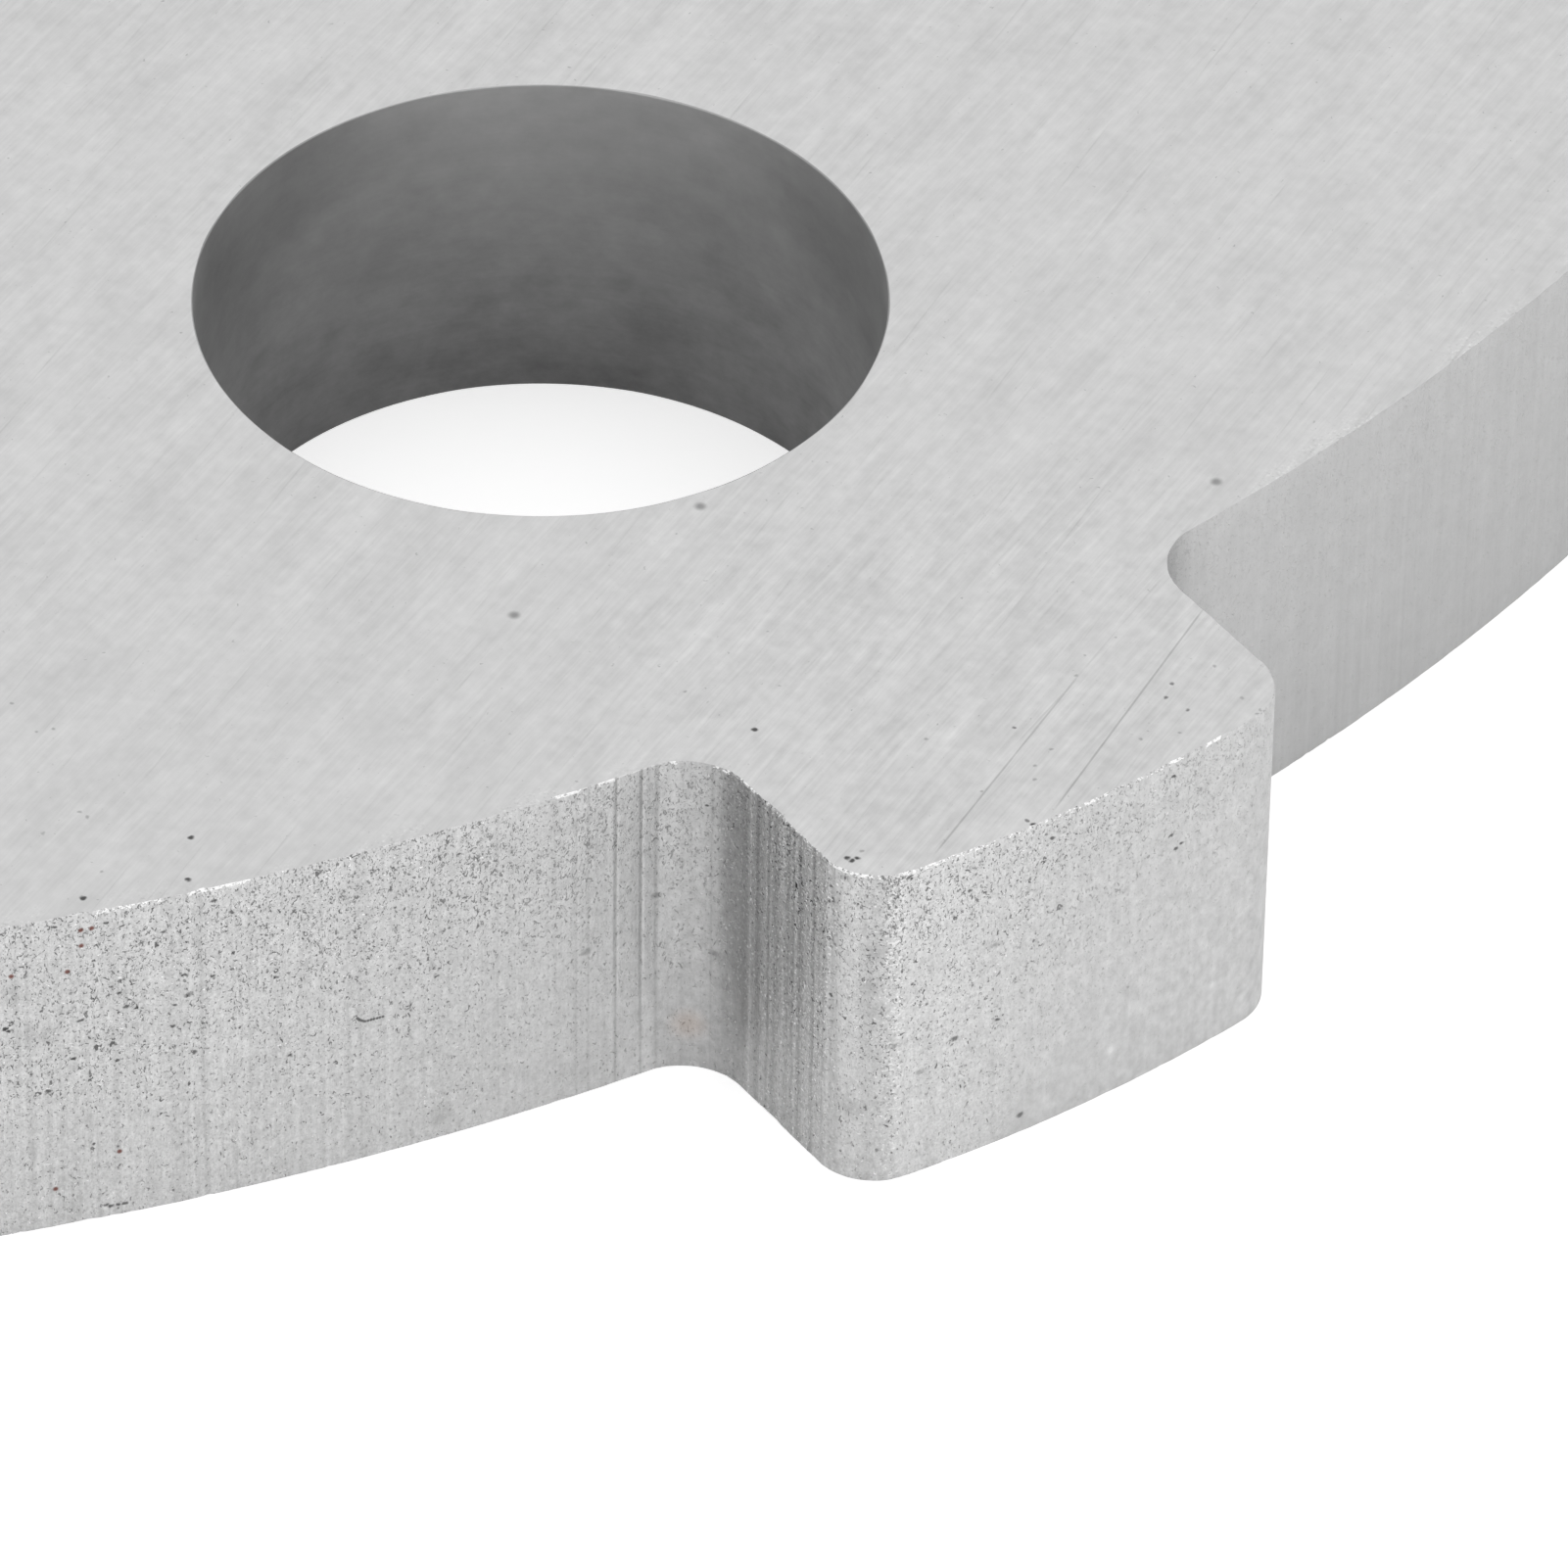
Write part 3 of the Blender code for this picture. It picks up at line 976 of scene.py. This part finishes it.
def scratch(tree, start, end):
    """1 along a thin straight line between two points of the face, fading at both ends.

    The place is turned so that x runs along the line from its middle. The line is then
    where the distance to the side is small and the distance along is under half its length.
    """
    along = end - start
    half = float(np.hypot(along[0], along[1])) / 2
    turn = math.atan2(along[1], along[0])
    moved = tree.vector("SUBTRACT", tree.place, tuple((start + end) / 2))
    turned = tree.add("ShaderNodeMapping", {"vector_type": "POINT"}, Vector=moved,
                      Rotation=(0, 0, -turn))
    parts = tree.add("ShaderNodeSeparateXYZ", Vector=turned.outputs["Vector"])
    side = Value(tree, parts.outputs["Y"]).math("ABSOLUTE")
    ends = Value(tree, parts.outputs["X"]).math("ABSOLUTE")
    thin = side.step(SCRATCH_HALF_WIDTH * 1.4, SCRATCH_HALF_WIDTH * 0.4)
    return thin * ends.step(half, half * 0.8)


scratch_lengths = [np.linalg.norm(on_top(start) - on_top(end)) for start, end, _ in SCRATCHES]
print("the scratches are", np.round(np.array(scratch_lengths) / MM, 1), "mm long")

# %% Ground steel
FACE_TONE = 0.626
FACE_ROUGHNESS = 0.40
GRAIN_DIRECTION = math.radians(25.0)
GRAIN_DEPTH = 0.0022 * MM
# Layers that are alike both ways, in waves per mm along X, Y and Z
MOTTLING, FLECKS, CHIPS = (5, 5, 1), (17, 17, 1), (24, 24, 1)
# Layers of the grain, as (waves per mm along it, waves per mm across it, detail)
HAIR_LINES, FINE_LINES, BANDS = (1.2, 28, 2.0), (0.55, 11, 2.0), (0.30, 3.2, 2.0)
CLOUDS, STRAY_LINES = (0.75, 1.3, 3.0), (0.35, 17, 1.0)
STRAY_TURN = 0.07  # the stray lines cross the grain at this angle, in radians
HAIR_CONTRAST, LINE_CONTRAST, BAND_CONTRAST = 0.11, 0.10, 0.06
CLOUD_CONTRAST, MOTTLE_CONTRAST, WEAR_CONTRAST = 0.14, 0.14, 0.12
STRAY_CONTRAST, SCRATCH_CONTRAST = 0.05, 0.17
FAINT_PIT_RADIUS, FACE_PIT_RADIUS, BLACK_PIT_RADIUS = 0.020 * MM, 0.022 * MM, 0.030 * MM
FAR_PIT_RADIUS = 0.055 * MM  # out of focus in the picture, so wide and soft
EDGE_WEAR = 0.35 * MM  # how far in from the rim the face is rubbed in patches
LUG_MIDDLE = (0.0, -RIM_RADIUS - LUG_REACH / 2, TOP)


def ground_face():
    """The two flat faces.

    The tone is a middle value, plus each noise's distance from its own middle times its
    contrast, less the scratches. The pits then darken it by a share.
    """
    tree = Tree("ground_face")

    def drawn_out(along, across, detail, turn=0.0):
        """Noise drawn out along the grain, with this many waves per mm each way."""
        return tree.noise(tree.stretched((along, across, 1), GRAIN_DIRECTION + turn), detail, 0.6)

    def marks_at(pixels, radius, softness, place=None):
        """Marks on the upper face, where these pixels show it."""
        return marked(tree, [on_top(pixel) for pixel in pixels], radius, softness, place)

    hair, line, band = drawn_out(*HAIR_LINES), drawn_out(*FINE_LINES), drawn_out(*BANDS)
    cloud, stray = drawn_out(*CLOUDS), drawn_out(*STRAY_LINES, STRAY_TURN)
    mottle = tree.noise(tree.stretched(MOTTLING), 3.0, 0.6)
    fleck = tree.noise(tree.stretched(FLECKS), 1.0, 0.5, 0.6)
    chip = tree.noise(tree.stretched(CHIPS), 1.0)

    uneasy = tree.shaken(14, 0.05 * MM)
    pits = fleck.step(0.73, 0.83) * 0.45
    pits = pits.most(marks_at(FACE_PITS, FACE_PIT_RADIUS, 0.5, uneasy) * 0.9)
    pits = pits.most(marks_at(FAINT_PITS, FAINT_PIT_RADIUS, 0.6, uneasy) * 0.5)
    pits = pits.most(marks_at(FAR_PITS, FAR_PIT_RADIUS, 0.7) * 0.7)
    black = marks_at(BLACK_FACE_PITS, BLACK_PIT_RADIUS, 0.5, uneasy)

    flat = tree.vector("MULTIPLY", tree.place, (1, 1, 0))
    from_axis = Value(tree, tree.vector("LENGTH", flat, result="Value"))
    by_edge = from_axis.step(RIM_RADIUS - EDGE_WEAR, RIM_RADIUS)
    by_lug = tree.spot(LUG_MIDDLE, LUG_WIDTH * 0.75)
    rubbed = by_edge * cloud.step(0.40, 0.62) * (1 - by_lug)
    handled = 1 + by_lug * 0.4
    deep = stray.step(0.66, 0.78)
    scratches = None
    for start, end, strength in SCRATCHES:
        one = scratch(tree, on_top(start), on_top(end)) * strength
        scratches = one if scratches is None else scratches.most(one)

    tone = (
        FACE_TONE
        + hair.sway(handled * HAIR_CONTRAST)
        + line.sway(handled * LINE_CONTRAST)
        + band.sway(BAND_CONTRAST)
        + cloud.sway(CLOUD_CONTRAST)
        + mottle.sway(handled * MOTTLE_CONTRAST)
        + chip.step(0.56, 0.70) * rubbed * WEAR_CONTRAST
        - chip.step(0.40, 0.28) * rubbed * WEAR_CONTRAST
        - deep * STRAY_CONTRAST
        - scratches * SCRATCH_CONTRAST
    )
    tone = tone * (1 - pits * 0.62) * (1 - black * 0.85)
    roughness = FACE_ROUGHNESS + line.sway(0.12) + pits * 0.3
    height = hair * 0.6 + line * 0.4 - deep * 0.5
    return tree.finish(tree.grey(tone), roughness, tree.bump(height, GRAIN_DEPTH))


face_steel = ground_face()
print(face_steel.name, "has", len(face_steel.node_tree.nodes), "nodes")

# %% [markdown]
# The rim
#
# The rim was sheared and left as it was: light metal, peppered with pits and with bright
# flecks, which are painted glints, both densest near the upper edge. Fine lines run straight
# down it, strongest beside the lug's root, and a few pits have begun to rust. The wall also
# carries painted shade, and its burrs and the lug's corner carry painted highlights. Noise
# that is drawn out along Z gives such upright streaks on a wall that faces any way, so it
# needs no unwrapping.

# %% Where the rim's marks lie, in pixels of the picture
RUST_PITS = ((12, 996), (81, 951), (70, 993), (58, 1214), (124, 1176), (84, 965), (92, 947))
BLACK_PITS = (
    (168, 951), (56, 946), (722, 822), (118, 1083), (108, 1229), (113, 1231), (119, 1231),
    (126, 1230), (238, 933), (218, 919), (848, 1017), (1207, 861), (1195, 853), (1201, 867),
    (1198, 792), (990, 910), (929, 895), (178, 1027), (190, 995), (177, 1047), (120, 1015),
    (128, 1028), (197, 1075), (295, 1078), (216, 997), (49, 1115), (83, 1043), (110, 942),
    (1075, 856), (1019, 1041), (849, 905), (835, 918), (446, 998),
)
DEEP_PITS = ((140, 1028), (74, 1082), (282, 999), (11, 1052), (5, 1051))
LARGE_PITS = ((192, 1016), (1041, 1139), (975, 1062))
SOFT_MARKS = (
    (671, 914), (729, 973), (598, 973), (914, 1068), (1016, 964), (939, 1095), (863, 897),
)
PALE_MARKS = ((1238, 1005), (1268, 1019), (1134, 1071))
SMUDGES = (
    (12, 1016), (30, 1058), (48, 1058), (888, 1030), (891, 975), (887, 1008), (868, 1130),
    (449, 1139),
)
STAIN_PLACE = (703, 1046)
HAIR = ((364, 1039), (367, 1042), (373, 1043), (390, 1038))  # the bends of a fine curved mark
HAIR_SPOTS = 19  # it is drawn as this many overlapping spots

spots = np.linspace(0, len(HAIR) - 1, HAIR_SPOTS)
bends = zip(*[on_wall(pixel) for pixel in HAIR])
hair_points = np.stack([np.interp(spots, range(len(HAIR)), part) for part in bends], axis=1)
hair_length = np.linalg.norm(np.diff(hair_points, axis=0), axis=1).sum()
print("the fine curved mark is", round(hair_length / MM, 2), "mm long")

# %% Blanked rim
RIM_TONE = 0.614
RIM_ROUGHNESS = 0.38
RIM_RELIEF = 0.008 * MM
RUST = (0.16, 0.045, 0.03, 1.0)
STAIN = (0.62, 0.46, 0.36, 1.0)
SOOT = (0.22, 0.22, 0.22, 1.0)
# Layers of the finish, as (waves per mm along the rim, waves per mm down it, detail, distortion)
STREAKS, WIDE_STREAKS = (17, 0.13, 3.0), (3.2, 0.06, 2.0)
BLOTCHES, MOTTLE, PATCHES = (4.5, 4, 2.0), (8, 6.5, 2.0), (1.1, 1.1, 3.0)
PEBBLES, GRIT, DASHES = (15, 12, 3.0, 0.5), (44, 34, 1.0), (26, 8, 2.0, 0.4)
SPECKS, HOLLOWS, GLINTS = (34, 22, 1.0, 0.9), (17, 14, 1.0, 1.0), (24, 30, 1.0)
WIDE_CONTRAST, BLOTCH_CONTRAST, PATCH_CONTRAST = 0.06, 0.09, 0.06
PEBBLE_CONTRAST, GRIT_CONTRAST, DASH_CONTRAST, GLINT_CONTRAST = 0.28, 0.24, 0.16, 0.30
RUST_RADIUS, STAIN_RADIUS, SMUDGE_RADIUS = 0.028 * MM, 0.16 * MM, 0.12 * MM
DEEP_PIT_RADIUS, LARGE_PIT_RADIUS = 0.028 * MM, 0.045 * MM
SOFT_MARK_RADIUS, HAIR_RADIUS = 0.050 * MM, 0.018 * MM
MARK_SQUEEZE = (1, 1, 1.5)  # shaken marks are this much flatter than they are wide
HIGHLIGHT_FROM, HIGHLIGHT_BY = 0.058 * MM, 0.036 * MM  # below the top, where the painted burr highlight begins and is full
WHOLE_BURR_SHIFT = 0.022 * MM  # how much nearer to the top that is for a whole burr


def rim_finish():
    """The outer walls.

    The tone is a middle value plus the layers, each times its contrast and, where it
    belongs to the pitting, times the mesh's number for how coarse the rim is there. The
    glints among the layers are painted highlights. Pits, lines, marks and the painted shade
    then darken it by a share, and painted highlights on the burrs and the corner's line
    brighten it.
    """
    tree = Tree("blanked_rim")

    def lumps(along, upright, detail, distortion=0.0):
        """Noise with this many waves per mm along the wall and down it."""
        return tree.noise(tree.stretched((along, along, upright)), detail, 0.6, distortion)

    uneasy = tree.shaken(16, 0.06 * MM, MARK_SQUEEZE)

    def round_marks(pixels, radius, softness):
        """Round marks on the walls, where these pixels show them."""
        return marked(tree, [on_wall(pixel) for pixel in pixels], radius, softness)

    def ragged_marks(pixels, radius, softness):
        """The same with uneven outlines, wider than they are high."""
        points = [on_wall(pixel) for pixel in pixels]
        return marked(tree, points, radius, softness, uneasy, MARK_SQUEEZE)

    scored, painted_shade, coarse = (tree.attribute(name) for name in ("scored", "painted_shade", "coarse"))
    streaky, mottled = tree.attribute("streaky"), tree.attribute("mottled")
    burr_highlight_strength, corner_pits_and_highlight = tree.attribute("burr_highlight_strength"), tree.attribute("corner_line_pits_and_highlight")
    height = tree.height()
    upper = height.step(BOTTOM, TOP)
    streak, patch, pebble = lumps(*STREAKS), lumps(*PATCHES), lumps(*PEBBLES)
    glint = lumps(*GLINTS)

    # Painted highlights on the burrs, in a thin band below the upper edge
    painted_burr_highlight = (glint + burr_highlight_strength * 0.25).step(0.60, 0.68) * burr_highlight_strength.step(0.0, 0.1)
    painted_burr_highlight = painted_burr_highlight * (height - burr_highlight_strength * WHOLE_BURR_SHIFT).step(TOP - HIGHLIGHT_FROM, TOP - HIGHLIGHT_BY)
    # Painted highlights along the corner's line
    painted_corner_highlight = corner_pits_and_highlight * ((glint + upper * 0.08).step(0.56, 0.70) * 0.20 + 0.01)
    crowd = patch * 0.14 + upper * 0.06
    pits = (lumps(*SPECKS) + crowd + corner_pits_and_highlight * upper * 0.06).step(0.70, 0.86) * 0.85
    pits = pits.most((lumps(*HOLLOWS) + crowd).step(0.79, 0.86)) * coarse
    # The glints are painted highlights: bright flecks, more of them where there is painted shade
    glints = (glint + crowd * 0.6 + painted_shade * 0.26 + coarse * 0.03).step(0.78, 0.84)

    black = ragged_marks(BLACK_PITS, BLACK_PIT_RADIUS, 0.5)
    black = black.most(marked(tree, hair_points, HAIR_RADIUS, 0.4))
    black = black.most(ragged_marks(LARGE_PITS, LARGE_PIT_RADIUS, 0.6) * 0.9)
    black = black.most(ragged_marks(SOFT_MARKS, SOFT_MARK_RADIUS, 0.9) * 0.5)
    deep = ragged_marks(DEEP_PITS, DEEP_PIT_RADIUS, 0.5)
    pale = round_marks(PALE_MARKS, SOFT_MARK_RADIUS, 0.9)

    tone = (
        RIM_TONE
        + streak.sway(streaky * (0.39 - upper * 0.09))
        + lumps(*WIDE_STREAKS).sway(WIDE_CONTRAST)
        + lumps(*BLOTCHES).sway(BLOTCH_CONTRAST)
        + lumps(*MOTTLE).sway(mottled)
        + pebble.sway(coarse * PEBBLE_CONTRAST)
        + lumps(*GRIT).sway(coarse * GRIT_CONTRAST)
        + lumps(*DASHES).sway(coarse * DASH_CONTRAST)
        + patch.sway(PATCH_CONTRAST)
        + glints * coarse * GLINT_CONTRAST
    )
    # The painted shade darkens the tone by its share
    tone = tone * (1 - pits * 0.58) * (1 - scored * 0.38) * (1 - painted_shade)
    tone = tone * (1 - black * 0.74) * (1 - deep * 0.88)
    tone = tone + painted_burr_highlight * 0.6 + painted_corner_highlight + pale * 0.15

    rust = round_marks(RUST_PITS, RUST_RADIUS, 0.5)
    stain = tree.spot(on_wall(STAIN_PLACE), STAIN_RADIUS, 0.8)
    smudge = round_marks(SMUDGES, SMUDGE_RADIUS, 0.8) * pebble.step(0.35, 0.6)
    colour = tree.blend(rust * 0.9, tree.grey(tone.math("MINIMUM", 0.97)), RUST)
    colour = tree.blend(stain * 0.28, colour, STAIN)
    colour = tree.blend(smudge * 0.38, colour, SOOT)
    roughness = RIM_ROUGHNESS + pits * 0.25 - glints * 0.12
    bumps = streak * streaky * 0.35 + pebble * coarse - pits * 1.2 + glints * 0.6
    return tree.finish(colour, roughness, tree.bump(bumps, RIM_RELIEF))


rim_steel = rim_finish()
print(rim_steel.name, "has", len(rim_steel.node_tree.nodes), "nodes")

# %% [markdown]
# The bored walls
#
# Inside the holes the walls are smooth, with only a soft cloudiness and faint lines round
# the bore that the tool left. Their dark, even tone is painted shade, and they are lighter
# near the top, which is painted light. On the nearest hole's far wall the picture shows some
# darker and paler places, and these are put where they lie; the two at its sides are painted
# shade.

# %% Bored wall
# The dark tone of the bored walls is painted shade
BORED_SHADE_TONE = 0.229
BORED_TOP_LIGHT = 0.222  # how much painted light lifts the wall at its top
BORED_ROUGHNESS = 0.60
CLOUD_SWING, BLOTCH_SWING, TURN_SWING = 0.16, 0.18, 0.025
TURN_DEPTH = 0.002 * MM
# Soft marks, as (column, row, radius, strength), where a minus is paler. The first two are
# painted shade on the two sides of the far wall; the rest are darker and paler blotches.
SIDE_SHADE_AND_BLOTCHES = (
    (214, 300, 1.30 * MM, 0.23), (893, 300, 1.30 * MM, 0.22), (312, 172, 0.70 * MM, 0.14),
    (384, 270, 0.30 * MM, 0.08), (667, 347, 0.50 * MM, 0.07), (832, 205, 0.70 * MM, 0.12),
    (530, 150, 0.90 * MM, -0.07), (730, 250, 0.70 * MM, 0.07),
)


def bored_wall():
    """The walls of the bore and the holes: a dark tone of painted shade, painted light that rises
    with height, and three noises.
    """
    tree = Tree("bored_wall")
    cloud = tree.noise(tree.stretched((0.45, 0.45, 0.7)), 4.0, 0.65)
    blotch = tree.noise(tree.stretched((1.6, 1.6, 2.2)), 5.0, 0.7)
    turn = tree.noise(tree.stretched((0.3, 0.3, 20)), 2.0)
    tone = (
        BORED_SHADE_TONE
        + tree.height().step(BOTTOM, TOP) * BORED_TOP_LIGHT
        + cloud.sway(CLOUD_SWING)
        + blotch.sway(BLOTCH_SWING)
        + turn.sway(TURN_SWING)
    )
    for column, row, radius, strength in SIDE_SHADE_AND_BLOTCHES:
        tone = tone * (1 - tree.spot(on_hole_wall((column, row)), radius, 0.9) * strength)
    roughness = BORED_ROUGHNESS + cloud.sway(0.1)
    return tree.finish(tree.grey(tone), roughness, tree.bump(turn, TURN_DEPTH))


bored_steel = bored_wall()
for steel in (face_steel, rim_steel, bored_steel):  # in the order of the mesh's slots
    plate_mesh.materials.append(steel)
print(bored_steel.name, "has", len(bored_steel.node_tree.nodes), "nodes")

# %% [markdown]
# Floor and background
#
# The photograph is cut out on pure white. A white floor alone would need too much light to
# look white, so the floor adds a glow of its own that the camera sees. The floor keeps its
# own shaded part under that glow, which is what shows the plate's soft shadow. Metal and
# glass rays see a share of the glow too, so that the steel mirrors a pale floor.

# %% Pale floor
FLOOR_SIZE = 3.0
FLOOR_TONE = 0.86
FLOOR_ROUGHNESS = 0.9
CAMERA_GLOW = 0.52
MIRROR_GLOW = 0.21


def pale_floor():
    """Matt and nearly white, plus a glow = seen * its share + mirrored * its share."""
    tree = Tree("pale_floor", metallic=0.0)
    tree.shader.inputs["Base Color"].default_value = (FLOOR_TONE, FLOOR_TONE, FLOOR_TONE, 1.0)
    tree.shader.inputs["Roughness"].default_value = FLOOR_ROUGHNESS
    tree.shader.inputs["Specular IOR Level"].default_value = 0.0
    path = tree.add("ShaderNodeLightPath")
    seen = Value(tree, path.outputs["Is Camera Ray"]) * CAMERA_GLOW
    mirrored = Value(tree, path.outputs["Is Glossy Ray"]) * MIRROR_GLOW
    through = Value(tree, path.outputs["Is Transmission Ray"]) * CAMERA_GLOW
    glow = tree.add("ShaderNodeEmission", Color=WHITE, Strength=seen + mirrored + through)
    both = tree.add("ShaderNodeAddShader")
    tree.feed(both.inputs[0], tree.shader.outputs["BSDF"])
    tree.feed(both.inputs[1], glow.outputs["Emission"])
    tree.feed(tree.nodes["Material Output"].inputs["Surface"], both.outputs["Shader"])
    return tree.material


bpy.ops.mesh.primitive_plane_add(size=FLOOR_SIZE, location=(0, 0, BOTTOM))
floor = bpy.context.object
floor.name = "floor"
floor.data.materials.append(pale_floor())
print("floor", FLOOR_SIZE, "m wide at", round(BOTTOM / MM, 2), "mm")

# %% [markdown]
# Sky and lamp
#
# The sky is even and nearly white, so that the steel looks the same from all sides, and one
# large soft lamp high over the camera's side adds a little more. The camera sees the sky as
# pure white, because Is Camera Ray raises its strength to 1 for the camera alone.

# %% Even sky
SKY_LEVEL = 0.99
world = bpy.data.worlds.new("studio")
bpy.context.scene.world = world
world.use_nodes = True
sky = world.node_tree
path = sky.nodes.new("ShaderNodeLightPath")
white_to_camera = sky.nodes.new("ShaderNodeMath")
white_to_camera.operation = "MAXIMUM"
white_to_camera.inputs[1].default_value = SKY_LEVEL
sky.links.new(path.outputs["Is Camera Ray"], white_to_camera.inputs[0])
sky.links.new(white_to_camera.outputs["Value"], sky.nodes["Background"].inputs["Strength"])
sky.nodes["Background"].inputs["Color"].default_value = WHITE
print("sky of strength", SKY_LEVEL, "to the steel and 1 to the camera")

# %% Soft lamp
LAMP_PLACE = (0.3, -0.3, 1.1)
LAMP_SIZE = 1.0
LAMP_POWER = 0.8


def softbox(name, place, size, power):
    """A square lamp of this size in metres, aimed at the plate's middle."""
    data = bpy.data.lights.new(name, "AREA")
    data.shape = "SQUARE"
    data.size = size
    data.energy = power
    lamp = bpy.data.objects.new(name, data)
    lamp.location = place
    lamp.rotation_euler = (-Vector(place)).to_track_quat("-Z", "Y").to_euler()
    bpy.context.scene.collection.objects.link(lamp)


softbox("lamp_above", LAMP_PLACE, LAMP_SIZE, LAMP_POWER)
bpy.context.scene.view_settings.view_transform = "Standard"
print("one lamp of", LAMP_POWER, "W,", round(math.dist((0, 0, 0), LAMP_PLACE), 2), "m away")

# %% [markdown]
# The plate's size
#
# The plate's box is measured as it was loaded. The finish must not make the plate larger
# than it is.
